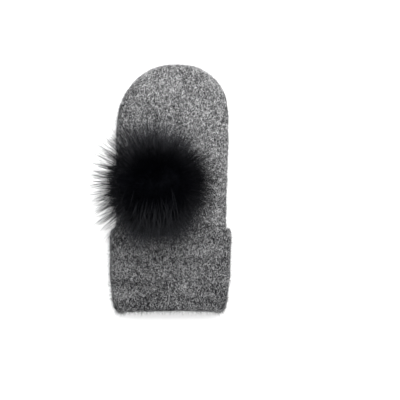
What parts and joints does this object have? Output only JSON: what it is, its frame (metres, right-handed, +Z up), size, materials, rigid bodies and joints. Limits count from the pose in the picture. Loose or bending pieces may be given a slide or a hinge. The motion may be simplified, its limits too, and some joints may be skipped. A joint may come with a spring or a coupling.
{
  "type": "wool mitten with a fur pompom",
  "caption": "Felted wool left-hand mitten lying palm down, with a turned-up cuff, a thumb folded under the palm and a fur pompom on the back.",
  "frame": {"origin": "on the surface that the mitten lies on, under the middle of the turned-up cuff", "axes": "+Y from the wrist to the fingertips, +Z up out of the back of the hand, +X across the hand towards the thumb's side"},
  "size_m": [0.1277, 0.2396, 0.097],
  "materials": {
    "grey_wool": "heather grey felted wool, matt and fuzzy",
    "black_fur": "long soft black fur with a faint sheen",
    "black_cord": "matt twisted cord"
  },
  "bodies": {
    "root": {"hand": "grey_wool", "cuff": "grey_wool", "thumb": "grey_wool", "pompom": "black_fur", "pompom_tie": "black_cord"}
  },
  "joints": []
}
